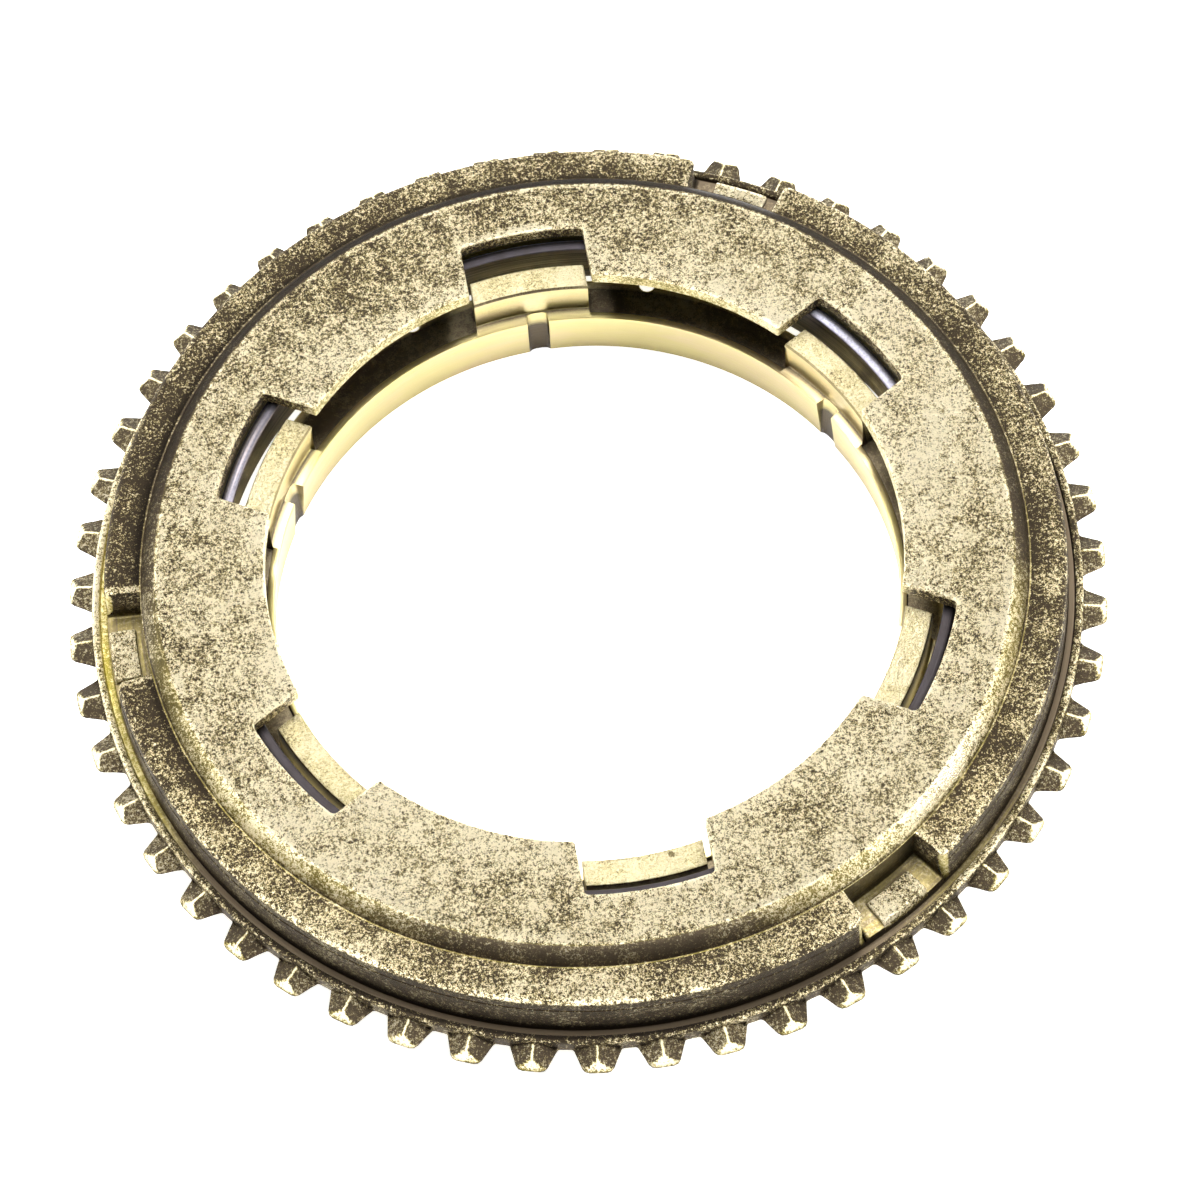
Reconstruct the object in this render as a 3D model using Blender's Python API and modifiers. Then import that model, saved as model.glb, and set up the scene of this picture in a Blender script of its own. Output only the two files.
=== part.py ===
"""Triple-cone synchroniser ring pack: a toothed outer baulk ring, a steel intermediate cone ring and an inner
cone ring with six lugs. Metres, +Z up. The origin is on the common axis, in the plane that the pack stands on.
Depths are counted down from the hub-side face of the outer ring. Notch one points along +Y."""

import math

import bmesh
import bpy
from mathutils import Matrix, Vector

MM = 0.001

# Heights
PACK_HEIGHT = 16.8 * MM  # from the surface it stands on to the hub-side face
CONE_TAPER = 0.17  # radius gained per unit of depth on the friction cones, a 9.6 degree half-angle

# Outer baulk ring
TEETH = 51
TIP_RADIUS = 57.6 * MM
ROOT_RADIUS = 54.95 * MM
TOOTH_ROOT_HALF = 2.6 * MM  # half the tooth's width at the root radius
TOOTH_TIP_HALF = 1.5 * MM
TOOTH_RIDGE_DEPTH = 8.15 * MM
TOOTH_BOTTOM_DEPTH = 9.4 * MM
TOOTH_CHAMFER_SLOPE = 0.62  # fall of the pointing chamfers per unit of width
TIP_FACET_START = 56.7 * MM  # radius where the ridge ends and the steep facet at the tip begins
TIP_FACET_SLOPE = 1.3  # fall of the facet per unit of radius
OUTER_RING_DEPTH = 9.8 * MM  # its gear-side face
HOLE_RADIUS = 35.0 * MM
FLANGE_THICKNESS = 2.1 * MM
FACE_RADIUS = 46.7 * MM
LAND_INNER_RADIUS = 48.6 * MM
LAND_RADIUS = 52.8 * MM
LAND_DEPTH = 1.75 * MM
LAND_EDGE_RADIUS = 0.8 * MM
WALL_FOOT_RADIUS = 53.2 * MM
RIM_DEPTH = 7.8 * MM
LIP_INNER_RADIUS = 54.0 * MM
LIP_RISE = 0.15 * MM

NOTCHES = 6
NOTCH_RADIUS = 41.1 * MM
NOTCH_HALF_WIDTH = 7.0 * MM

SLOTS = 3
SLOT_HALF_WIDTH = 5.3 * MM
SLOT_FLOOR_DEPTH = 6.9 * MM
PAD_DEPTH = 5.95 * MM
PAD_HALF_WIDTH = 2.95 * MM
PAD_INNER_RADIUS = 50.0 * MM
PAD_OUTER_RADIUS = 52.95 * MM

# Steel intermediate ring
STEEL_TOP_DEPTH = 2.4 * MM
STEEL_BODY_DEPTH = 10.6 * MM
STEEL_INNER_RADIUS = 39.6 * MM  # at its top face
STEEL_THICKNESS = 1.45 * MM
STEEL_CHAMFER = 0.3 * MM
STEEL_LUG_HALF_WIDTH = 6.0 * MM
RING_GAP = 0.3 * MM  # running gap between the outer ring's cone and the steel ring

# Inner cone ring
LUG_TOP_DEPTH = 3.75 * MM
LUG_HALF_WIDTH = 6.55 * MM
LUG_OUTER_RADIUS = 38.55 * MM
LUG_FACE_TOP_RADIUS = 35.5 * MM
LUG_FACE_FOOT_RADIUS = 36.1 * MM
LIP_TOP_DEPTH = 9.3 * MM
LIP_OUTER_RADIUS = 35.5 * MM
SHOULDER_DEPTH = 10.05 * MM
SHOULDER_RADIUS = 40.2 * MM
BORE_TOP_RADIUS = 34.6 * MM
BORE_FOOT_RADIUS = 35.3 * MM
INNER_CHAMFER = 0.2 * MM
BORE_GROOVE_HALF_WIDTH = 1.22 * MM
BORE_GROOVE_TOP_RADIUS = 35.9 * MM  # radius of the groove's floor, at the lip
BORE_GROOVE_FOOT_RADIUS = 35.6 * MM
BORE_GROOVE_OFFSET = math.radians(-0.8)  # the grooves are this far round from the lugs' middles
CONE_GROOVES = 9
CONE_GROOVE_RADIUS = 0.95 * MM

# Facets
OUTER_STEPS = 102
INNER_STEPS = 72
MERGE = 0.00001
CLEARANCE = 1.0 * MM  # how far a cutter runs past what it cuts

BRASS_CAST = ("cast_brass", (0.52, 0.44, 0.27, 1.0), 0.55, 0.9)
BRASS_MACHINED = ("machined_brass", (0.78, 0.63, 0.32, 1.0), 0.35, 1.0)
STEEL = ("dark_steel", (0.16, 0.16, 0.19, 1.0), 0.3, 1.0)


def height(depth):
    """Z of a point that lies this deep below the hub-side face."""
    return PACK_HEIGHT - depth


def clear_scene():
    for obj in list(bpy.data.objects):
        bpy.data.objects.remove(obj, do_unlink=True)


def new_collection(name):
    collection = bpy.data.collections.new(name)
    bpy.context.scene.collection.children.link(collection)
    return collection


def make_material(name, color, roughness, metallic):
    material = bpy.data.materials.new(name)
    material.use_nodes = True
    shader = material.node_tree.nodes["Principled BSDF"]
    shader.inputs["Base Color"].default_value = color
    shader.inputs["Roughness"].default_value = roughness
    shader.inputs["Metallic"].default_value = metallic
    material.diffuse_color = color
    return material


def object_from_bmesh(name, bm, collection):
    mesh = bpy.data.meshes.new(name)
    bm.to_mesh(mesh)
    bm.free()
    obj = bpy.data.objects.new(name, mesh)
    collection.objects.link(obj)
    return obj


def make_cutter(obj):
    obj.hide_render = True
    obj.display_type = "WIRE"
    return obj


def lathe(name, profile, steps, collection):
    """A ring turned from a closed profile of (radius, z), listed down its outer side and up its inner side."""
    bm = bmesh.new()
    points = [bm.verts.new((radius, 0.0, z)) for radius, z in profile]
    for first, second in zip(points, points[1:] + points[:1]):
        bm.edges.new((first, second))
    obj = object_from_bmesh(name, bm, collection)
    screw = obj.modifiers.new("Turn", "SCREW")
    screw.steps = steps
    screw.render_steps = steps
    screw.use_merge_vertices = True
    screw.merge_threshold = MERGE
    return obj


def boolean(obj, other, operation):
    modifier = obj.modifiers.new(other.name, "BOOLEAN")
    modifier.object = other
    modifier.operation = operation
    modifier.solver = "EXACT"


def keep_side(bm, point, outward):
    """Cuts off what lies beyond the plane, on the side that outward points to, and closes the cut."""
    geometry = bm.verts[:] + bm.edges[:] + bm.faces[:]
    cut = bmesh.ops.bisect_plane(bm, geom=geometry, plane_co=point, plane_no=outward, clear_outer=True)
    edges = [item for item in cut["geom_cut"] if isinstance(item, bmesh.types.BMEdge)]
    bmesh.ops.edgeloop_fill(bm, edges=edges)
    bmesh.ops.recalc_face_normals(bm, faces=bm.faces)


def round_ended_block(outer_radius, inner_x, half_width, bottom, top, steps):
    """A block along +X with parallel sides, a flat inner end and an outer end that follows a circle about Z."""
    bm = bmesh.new()
    bmesh.ops.create_cone(
        bm, cap_ends=True, segments=steps, radius1=outer_radius, radius2=outer_radius, depth=top - bottom
    )
    bmesh.ops.translate(bm, verts=bm.verts, vec=(0.0, 0.0, (top + bottom) / 2))
    keep_side(bm, (0.0, half_width, 0.0), (0.0, 1.0, 0.0))
    keep_side(bm, (0.0, -half_width, 0.0), (0.0, -1.0, 0.0))
    keep_side(bm, (inner_x, 0.0, 0.0), (-1.0, 0.0, 0.0))
    return bm


def block(inner_x, outer_x, half_width, bottom, top):
    """A plain box along +X."""
    bm = bmesh.new()
    bmesh.ops.create_cube(bm, size=1.0)
    bmesh.ops.scale(bm, verts=bm.verts, vec=(outer_x - inner_x, 2 * half_width, top - bottom))
    bmesh.ops.translate(bm, verts=bm.verts, vec=((inner_x + outer_x) / 2, 0.0, (top + bottom) / 2))
    return bm


def repeat_round(name, shape, count, first_angle, collection):
    """Copies a shape round the axis into one helper mesh. The copies don't touch each other."""
    unit = bpy.data.meshes.new(name + "_unit")
    shape.to_mesh(unit)
    shape.free()
    bm = bmesh.new()
    for index in range(count):
        before = len(bm.verts)
        bm.from_mesh(unit)
        bm.verts.ensure_lookup_table()
        turn = Matrix.Rotation(first_angle + index * 2 * math.pi / count, 4, "Z")
        bmesh.ops.transform(bm, matrix=turn, verts=bm.verts[before:])
    bpy.data.meshes.remove(unit)
    return make_cutter(object_from_bmesh(name, bm, collection))


def steel_cone(depth):
    """Radius of the steel ring's inner cone at this depth."""
    return STEEL_INNER_RADIUS + CONE_TAPER * (depth - STEEL_TOP_DEPTH)


def outer_cone(depth):
    """Radius of the outer ring's conical bore at this depth."""
    return steel_cone(depth) + STEEL_THICKNESS + RING_GAP


def outer_ring_profile():
    shoulder = LAND_INNER_RADIUS - FACE_RADIUS
    edge = LAND_EDGE_RADIUS
    rounding = [
        (LAND_RADIUS - edge + edge * math.sin(angle), height(LAND_DEPTH + edge - edge * math.cos(angle)))
        for angle in (0.0, math.pi / 6, math.pi / 3, math.pi / 2)
    ]
    return [
        (HOLE_RADIUS, height(0.0)),
        (FACE_RADIUS, height(0.0)),
        (FACE_RADIUS + 0.3 * shoulder, height(0.15 * LAND_DEPTH)),
        (FACE_RADIUS + 0.7 * shoulder, height(0.8 * LAND_DEPTH)),
        (LAND_INNER_RADIUS, height(LAND_DEPTH)),
        *rounding,
        (WALL_FOOT_RADIUS, height(RIM_DEPTH)),
        (LIP_INNER_RADIUS, height(RIM_DEPTH)),
        (LIP_INNER_RADIUS, height(RIM_DEPTH - LIP_RISE)),
        (ROOT_RADIUS - LIP_RISE, height(RIM_DEPTH - LIP_RISE)),
        (ROOT_RADIUS, height(RIM_DEPTH)),
        (ROOT_RADIUS, height(OUTER_RING_DEPTH)),
        (outer_cone(OUTER_RING_DEPTH) + RING_GAP, height(OUTER_RING_DEPTH)),
        (outer_cone(OUTER_RING_DEPTH - RING_GAP), height(OUTER_RING_DEPTH - RING_GAP)),
        (outer_cone(FLANGE_THICKNESS), height(FLANGE_THICKNESS)),
        (HOLE_RADIUS, height(FLANGE_THICKNESS)),
    ]


def tooth():
    """One spline tooth: a block that narrows to its tip, with two chamfers that meet in a radial ridge and a
    steep facet at the end of the ridge."""
    inner_x = LIP_INNER_RADIUS
    ridge = height(TOOTH_RIDGE_DEPTH)
    bm = block(inner_x, TIP_RADIUS, 1.0, height(TOOTH_BOTTOM_DEPTH), ridge)
    widening = (TOOTH_ROOT_HALF - TOOTH_TIP_HALF) / (TIP_RADIUS - ROOT_RADIUS)
    for vert in bm.verts:
        vert.co.y = math.copysign(TOOTH_TIP_HALF + widening * (TIP_RADIUS - vert.co.x), vert.co.y)
    for side in (-1.0, 1.0):
        keep_side(bm, (0.0, 0.0, ridge), Vector((0.0, side * TOOTH_CHAMFER_SLOPE, 1.0)).normalized())
    keep_side(bm, (TIP_FACET_START, 0.0, ridge), Vector((TIP_FACET_SLOPE, 0.0, 1.0)).normalized())
    return bm


def outer_baulk_ring(parts, cutters):
    ring = lathe("outer_baulk_ring", outer_ring_profile(), OUTER_STEPS, parts)
    teeth = repeat_round("teeth", tooth(), TEETH, 0.0, cutters)
    slot = block(
        LAND_INNER_RADIUS, TIP_RADIUS + CLEARANCE, SLOT_HALF_WIDTH, height(SLOT_FLOOR_DEPTH), height(-CLEARANCE)
    )
    slots = repeat_round("strut_slots", slot, SLOTS, math.pi / SLOTS, cutters)
    pad = block(
        PAD_INNER_RADIUS, PAD_OUTER_RADIUS, PAD_HALF_WIDTH, height(SLOT_FLOOR_DEPTH + CLEARANCE), height(PAD_DEPTH)
    )
    pads = repeat_round("strut_pads", pad, SLOTS, math.pi / SLOTS, cutters)
    notch = round_ended_block(
        NOTCH_RADIUS,
        HOLE_RADIUS - 4 * CLEARANCE,
        NOTCH_HALF_WIDTH,
        height(FLANGE_THICKNESS + CLEARANCE),
        height(-CLEARANCE),
        OUTER_STEPS,
    )
    notches = repeat_round("lug_notches", notch, NOTCHES, math.pi / NOTCHES, cutters)
    boolean(ring, teeth, "UNION")
    boolean(ring, slots, "DIFFERENCE")
    boolean(ring, pads, "UNION")
    boolean(ring, notches, "DIFFERENCE")
    return ring


def intermediate_profile():
    top = STEEL_TOP_DEPTH
    return [
        (steel_cone(top) + STEEL_THICKNESS - STEEL_CHAMFER, height(top)),
        (steel_cone(top + STEEL_CHAMFER) + STEEL_THICKNESS, height(top + STEEL_CHAMFER)),
        (steel_cone(PACK_HEIGHT) + STEEL_THICKNESS, 0.0),
        (steel_cone(PACK_HEIGHT), 0.0),
        (steel_cone(top), height(top)),
    ]


def intermediate_cone_ring(parts, cutters):
    """A thin cone whose skirt is cut away between six lugs."""
    ring = lathe("intermediate_cone_ring", intermediate_profile(), INNER_STEPS, parts)
    inside = STEEL_INNER_RADIUS - CLEARANCE
    outside = steel_cone(PACK_HEIGHT) + STEEL_THICKNESS + CLEARANCE
    skirt = [
        (outside, height(STEEL_BODY_DEPTH)),
        (outside, -CLEARANCE),
        (inside, -CLEARANCE),
        (inside, height(STEEL_BODY_DEPTH)),
    ]
    gaps = make_cutter(lathe("lug_gaps", skirt, INNER_STEPS, cutters))
    lug = block(
        inside - CLEARANCE, outside + CLEARANCE, STEEL_LUG_HALF_WIDTH, -2 * CLEARANCE, height(STEEL_TOP_DEPTH)
    )
    lugs = repeat_round("steel_lugs", lug, NOTCHES, 0.0, cutters)
    boolean(gaps, lugs, "DIFFERENCE")
    boolean(ring, gaps, "DIFFERENCE")
    return ring


def inner_profile():
    foot_radius = SHOULDER_RADIUS + CONE_TAPER * (PACK_HEIGHT - SHOULDER_DEPTH)
    return [
        (LIP_OUTER_RADIUS, height(LIP_TOP_DEPTH)),
        (LIP_OUTER_RADIUS, height(SHOULDER_DEPTH)),
        (SHOULDER_RADIUS - INNER_CHAMFER, height(SHOULDER_DEPTH)),
        (SHOULDER_RADIUS, height(SHOULDER_DEPTH + INNER_CHAMFER)),
        (foot_radius, INNER_CHAMFER),
        (foot_radius - INNER_CHAMFER, 0.0),
        (BORE_FOOT_RADIUS + INNER_CHAMFER, 0.0),
        (BORE_FOOT_RADIUS, INNER_CHAMFER),
        (BORE_TOP_RADIUS, height(LIP_TOP_DEPTH)),
    ]


def lug_face_cutter(cutters):
    """The turned space inside the lugs, above the ledge that they stand on."""
    top = height(LUG_TOP_DEPTH - CLEARANCE)
    profile = [
        (LUG_FACE_TOP_RADIUS, top),
        (LUG_FACE_FOOT_RADIUS, height(LIP_TOP_DEPTH)),
        (BORE_TOP_RADIUS - 2 * CLEARANCE, height(LIP_TOP_DEPTH)),
        (BORE_TOP_RADIUS - 2 * CLEARANCE, top),
    ]
    return make_cutter(lathe("lug_faces", profile, INNER_STEPS, cutters))


def bore_groove():
    """An oil groove down the bore. Its floor leans in slightly towards the foot."""
    drop = height(LIP_TOP_DEPTH)
    slope = (BORE_GROOVE_TOP_RADIUS - BORE_GROOVE_FOOT_RADIUS) / drop
    inner_x = BORE_TOP_RADIUS - 2 * CLEARANCE
    bm = block(inner_x, BORE_GROOVE_FOOT_RADIUS, BORE_GROOVE_HALF_WIDTH, -CLEARANCE, drop + CLEARANCE)
    for vert in bm.verts:
        vert.co.x += slope * vert.co.z
    return bm


def cone_groove():
    """A half-round axial oil groove in the outer cone."""
    length = height(SHOULDER_DEPTH) + 2 * CLEARANCE
    bm = bmesh.new()
    bmesh.ops.create_cone(
        bm, cap_ends=True, segments=10, radius1=CONE_GROOVE_RADIUS, radius2=CONE_GROOVE_RADIUS, depth=length
    )
    bmesh.ops.rotate(bm, verts=bm.verts, cent=(0.0, 0.0, 0.0), matrix=Matrix.Rotation(-math.atan(CONE_TAPER), 3, "Y"))
    middle = height(SHOULDER_DEPTH) / 2
    radius = SHOULDER_RADIUS + CONE_TAPER * middle
    bmesh.ops.translate(bm, verts=bm.verts, vec=(radius, 0.0, middle))
    return bm


def inner_cone_ring(parts, cutters):
    ring = lathe("inner_cone_ring", inner_profile(), INNER_STEPS, parts)
    lug = round_ended_block(
        LUG_OUTER_RADIUS,
        BORE_TOP_RADIUS + CLEARANCE / 2,
        LUG_HALF_WIDTH,
        height(SHOULDER_DEPTH + CLEARANCE),
        height(LUG_TOP_DEPTH),
        INNER_STEPS,
    )
    lugs = repeat_round("lugs", lug, NOTCHES, math.pi / NOTCHES, cutters)
    groove_angle = math.pi / NOTCHES + BORE_GROOVE_OFFSET
    bore_grooves = repeat_round("bore_grooves", bore_groove(), NOTCHES, groove_angle, cutters)
    cone_grooves = repeat_round("cone_grooves", cone_groove(), CONE_GROOVES, math.pi / 2 + math.pi / 9, cutters)
    boolean(ring, lugs, "UNION")
    boolean(ring, lug_face_cutter(cutters), "DIFFERENCE")
    boolean(ring, bore_grooves, "DIFFERENCE")
    boolean(ring, cone_grooves, "DIFFERENCE")
    return ring


def bake(obj):
    """Replaces the modifiers by their result, shaded smooth between its sharp edges."""
    graph = bpy.context.evaluated_depsgraph_get()
    mesh = bpy.data.meshes.new_from_object(obj.evaluated_get(graph))
    obj.modifiers.clear()
    obj.data = mesh
    mesh.shade_smooth()
    mesh.set_sharp_from_angle(angle=math.radians(30))


def main():
    clear_scene()
    parts = new_collection("synchroniser_ring_pack")
    cutters = new_collection("cutters")
    makers = (
        (outer_baulk_ring, BRASS_CAST),
        (intermediate_cone_ring, STEEL),
        (inner_cone_ring, BRASS_MACHINED),
    )
    for maker, look in makers:
        ring = maker(parts, cutters)
        bake(ring)
        ring.data.materials.clear()
        ring.data.materials.append(make_material(*look))


main()
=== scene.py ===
"""Looks for the triple-cone synchroniser ring pack: three closed ring skins lofted round the axis, with
procedural cast brass, turned brass and dark steel. Lengths are in millimetres until the meshes are made,
angles are in degrees, and a depth is counted down from the hub-side face of the outer ring."""

import math

import bpy
import numpy as np
from mathutils import Matrix, Vector


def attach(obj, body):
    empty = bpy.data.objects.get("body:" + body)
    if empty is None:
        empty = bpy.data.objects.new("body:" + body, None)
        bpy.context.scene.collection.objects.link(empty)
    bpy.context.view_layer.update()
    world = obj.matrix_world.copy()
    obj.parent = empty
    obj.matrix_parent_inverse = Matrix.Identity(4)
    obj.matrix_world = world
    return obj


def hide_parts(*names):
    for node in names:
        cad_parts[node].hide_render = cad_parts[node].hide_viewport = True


MM = 0.001
TOP = 16.8  # height of the hub-side face
FULL = 360.0
SHARP_ANGLE = 42.0

# Cones, as in the CAD
TAPER = 0.17
STEEL_TOP = 2.4
STEEL_INNER = 39.6
STEEL_WALL = 1.45
RING_GAP = 0.3

# Outer ring: hole, notches and flange
HOLE_R = 35.0
HOLE_CORNER = 0.3
FLANGE = 2.1
FLANGE_EDGE = 0.3
NOTCH_R = 41.15
NOTCH_HALF = 7.0
NOTCH_CORNER = 0.6
NOTCH_SPACING = 60.0

# Outer ring: land, slots and pads
LAND = 1.75
LAND_EDGE_R = 52.0
LAND_ROUNDING = 0.8
SLOT_CENTRES = (60.0, 180.0, 300.0)
SLOT_HALF_DEG = 5.95
SLOT_FLOOR = 6.9
SLOT_FILLET = 0.4
PAD_HALF_DEG = 3.3
PAD_TOP = 5.95
PAD_BEVEL = 0.25
SLOT_DEG_PER_MM = math.degrees(1 / 51.0)

# Outer ring: rim and teeth
TEETH = 51
ROOT_R = 54.85
ROOT_CORNER = 0.3
ROOT_HALF = 2.6
TIP_R = 57.6
TIP_CORNER = 0.85
TIP_HALF = 1.5
ROOF = 8.05  # depth of the ridge where it leaves the rim
ROOF_FALL = 0.05
ROOF_SLOPE = 0.6
RIDGE_BLUNTNESS = 0.05
FACET_R = 56.7
FACET = 8.15
FACET_FALL = 1.3
LOWEST_TOP = 9.3
TOOTH_BOTTOM = 9.4
RING_BOTTOM = 9.8

# Inner ring
BORE_LIP = 9.3
BORE_LIP_R = 34.6
BORE_FOOT_R = 35.3
INNER_SHOULDER = 10.05
INNER_CONE_R = 40.2
LUG_TOP = 3.75
LUG_HALF = 6.55
LUG_CENTRES = tuple(30.0 + NOTCH_SPACING * k for k in range(6))
INNER_DEG_PER_MM = math.degrees(1 / 37.0)
GROOVE_HALF = 1.22
GROOVE_FLOOR_R = 35.9
GROOVE_CENTRES = tuple(centre - 0.8 for centre in LUG_CENTRES)
CONE_GROOVE_R = 0.95
CONE_GROOVE_CENTRES = tuple(110.0 + 40.0 * k for k in range(9))
CONE_DEG_PER_MM = math.degrees(1 / 40.6)

# Steel ring
STEEL_BODY_END = 10.6
STEEL_LUG_HALF_DEG = 8.1
STEEL_LUG_CENTRES = tuple(60.0 * k for k in range(6))

# Angle and width of the back of the part: painted shade there on the brass, a painted highlight on the steel's
# top edge
BACK = (90.0, 110.0)


def steel_cone(depth):
    return STEEL_INNER + TAPER * (depth - STEEL_TOP)


def steel_outside(depth):
    return steel_cone(depth) + STEEL_WALL


def outer_cone(depth):
    return steel_outside(depth) + RING_GAP


def wrap(degrees):
    """Angle from -180 to 180."""
    return (np.asarray(degrees, float) + 180.0) % FULL - 180.0


def nearest(angles, centres):
    """Signed angle from each column to the nearest of the centres."""
    away = wrap(np.asarray(angles)[:, None] - np.asarray(centres)[None, :])
    return np.take_along_axis(away, np.abs(away).argmin(1)[:, None], 1)[:, 0]


def toward(angles, centre, width):
    """1 at the centre angle, fading to 0 at the width to each side."""
    return np.clip(1 - np.abs(wrap(np.asarray(angles) - centre)) / width, 0, 1)


def both_sides(centres, offsets):
    """Angles at each offset to both sides of each centre."""
    return [centre + sign * offset for centre in centres for offset in offsets for sign in (-1, 1)]


def thin_out(angles, gap):
    """Sorted angles with none closer than gap to the one before."""
    kept = []
    for angle in np.sort(np.asarray(angles) % FULL):
        if not kept or angle - kept[-1] > gap:
            kept.append(angle)
    return np.array(kept)


def round_inset(distance, radius):
    """How far a rounded edge has dropped at this distance from it."""
    near = np.clip(radius - distance, 0, radius)
    return radius - np.sqrt(np.maximum(radius**2 - near**2, 0))


def turn_corners(corners, degrees):
    """Outline corners turned about the axis."""
    turn = math.radians(degrees)
    sine, cosine = math.sin(turn), math.cos(turn)
    return [(x * cosine - y * sine, x * sine + y * cosine, radius) for x, y, radius in corners]


def rounded_outline(corners, steps):
    """A closed outline from (x, y, rounding radius) corners in counter-clockwise order, and its outward
    normals."""
    points = []
    count = len(corners)
    for index, (x, y, radius) in enumerate(corners):
        here = np.array((x, y))
        if radius <= 0:
            points.append(here)
            continue
        before = np.array(corners[index - 1][:2]) - here
        after = np.array(corners[(index + 1) % count][:2]) - here
        before /= np.linalg.norm(before)
        after /= np.linalg.norm(after)
        half = 0.5 * math.acos(float(np.clip(before @ after, -1, 1)))
        start = here + before * radius / math.tan(half)
        end = here + after * radius / math.tan(half)
        middle = here + (before + after) / np.linalg.norm(before + after) * radius / math.sin(half)
        first = start - middle
        last = end - middle
        sweep = math.acos(float(np.clip(first @ last / radius**2, -1, 1)))
        for step in range(steps + 1):
            part = step / steps
            mix = math.sin((1 - part) * sweep) * first + math.sin(part * sweep) * last
            points.append(middle + mix / math.sin(sweep))
    points = np.array(points)
    along = np.roll(points, -1, 0) - points
    along /= np.linalg.norm(along, axis=1)[:, None]
    tangent = along + np.roll(along, 1, 0)
    tangent /= np.linalg.norm(tangent, axis=1)[:, None]
    normals = np.stack([tangent[:, 1], -tangent[:, 0]], 1)
    return points, normals


class Outline:
    """An outline that can be read at any angle about the axis, as x, y and the outward normal."""

    def __init__(self, corners, steps):
        points, normals = rounded_outline(corners, steps)
        angles = np.degrees(np.arctan2(points[:, 1], points[:, 0])) % FULL
        order = np.argsort(angles)
        self.angles = angles[order]
        self.values = np.hstack([points, normals])[order]

    def at(self, angles):
        return np.stack([np.interp(angles, self.angles, column, period=FULL) for column in self.values.T], 1)


def hole_outline():
    """The flange's inner edge with its six notches."""
    hole_x = math.sqrt(HOLE_R**2 - NOTCH_HALF**2)
    notch_x = math.sqrt(NOTCH_R**2 - NOTCH_HALF**2)
    hole_edge = math.degrees(math.asin(NOTCH_HALF / HOLE_R))
    notch_edge = math.degrees(math.asin(NOTCH_HALF / NOTCH_R))
    side = [hole_x + part * (notch_x - hole_x) for part in (0.25, 0.5, 0.72)]
    back = [math.radians(part * notch_edge) for part in (-0.7, -0.45, -0.2, 0.0, 0.2, 0.45, 0.7)]
    arc_start = hole_edge + 2.5
    arc = np.radians(np.linspace(arc_start, NOTCH_SPACING - arc_start, 11))
    corners = [(hole_x, -NOTCH_HALF, HOLE_CORNER)]
    corners += [(x, -NOTCH_HALF, 0) for x in side]
    corners += [(notch_x, -NOTCH_HALF, NOTCH_CORNER)]
    corners += [(NOTCH_R * math.cos(angle), NOTCH_R * math.sin(angle), 0) for angle in back]
    corners += [(notch_x, NOTCH_HALF, NOTCH_CORNER)]
    corners += [(x, NOTCH_HALF, 0) for x in reversed(side)]
    corners += [(hole_x, NOTCH_HALF, HOLE_CORNER)]
    corners += [(HOLE_R * math.cos(angle), HOLE_R * math.sin(angle), 0) for angle in arc]
    return Outline([corner for centre in LUG_CENTRES for corner in turn_corners(corners, centre)], 4)


def tooth_outline():
    """The rim's edge seen from above, tooth by tooth."""
    root_x = math.sqrt(ROOT_R**2 - ROOT_HALF**2)
    flank = [
        (root_x + part * (TIP_R - root_x), ROOT_HALF - part * (ROOT_HALF - TIP_HALF)) for part in (0.35, 0.7)
    ]
    corners = [(root_x, -ROOT_HALF, ROOT_CORNER)]
    corners += [(x, -half, 0) for x, half in flank]
    corners += [(TIP_R, -TIP_HALF, TIP_CORNER)]
    corners += [(TIP_R, y, 0) for y in (-0.7, -0.2, 0.0, 0.2, 0.7)]
    corners += [(TIP_R, TIP_HALF, TIP_CORNER)]
    corners += [(x, half, 0) for x, half in reversed(flank)]
    corners += [(root_x, ROOT_HALF, ROOT_CORNER)]
    turns = [tooth * FULL / TEETH for tooth in range(TEETH)]
    return Outline([corner for turn in turns for corner in turn_corners(corners, turn)], 2)


class Skin:
    """A closed ring surface: rows of points round the axis, listed from the hole over the top, down the
    outside and back underneath. Three masks steer the material: how cast the metal is, its grime and
    painted shade (a painted highlight where below 0), and its polish with painted sheen."""

    # The second mask paints shade as well as grime, and the third paints sheen as well as polish.
    MASKS = ("cast", "grime", "polish")

    def __init__(self, angles):
        self.angles = np.asarray(angles, float)
        self.rows = []
        self.masks = []

    def columns(self, value):
        return np.broadcast_to(np.asarray(value, float), len(self.angles))

    def add(self, x, y, depth, **masks):
        height = TOP - np.asarray(depth, float)
        self.rows.append(np.stack([self.columns(value) for value in (x, y, height)], 1))
        self.masks.append([self.columns(masks.get(key, 0.0)) for key in self.MASKS])

    def ring(self, radius, depth, shift=0.0, **masks):
        turn = np.radians(self.angles + shift)
        self.add(radius * np.cos(turn), radius * np.sin(turn), depth, **masks)

    def build(self, name, material, body, node):
        grid = np.array(self.rows) * MM
        rows, columns = grid.shape[:2]
        index = np.arange(rows * columns).reshape(rows, columns)
        below = np.roll(index, -1, 0)
        faces = np.stack([index, below, np.roll(below, -1, 1), np.roll(index, -1, 1)], 2).reshape(-1, 4)
        mesh = bpy.data.meshes.new(name)
        mesh.from_pydata(grid.reshape(-1, 3).tolist(), [], faces.tolist())
        masks = np.array(self.masks)
        for position, key in enumerate(self.MASKS):
            attribute = mesh.attributes.new(key, "FLOAT", "POINT")
            attribute.data.foreach_set("value", masks[:, position].reshape(-1).astype(np.float32))
        mesh.shade_smooth()
        mesh.set_sharp_from_angle(angle=math.radians(SHARP_ANGLE))
        piece = bpy.data.objects.new(name, mesh)
        bpy.context.scene.collection.objects.link(piece)
        mesh.materials.append(material)
        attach(piece, body)
        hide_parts(node)


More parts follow.
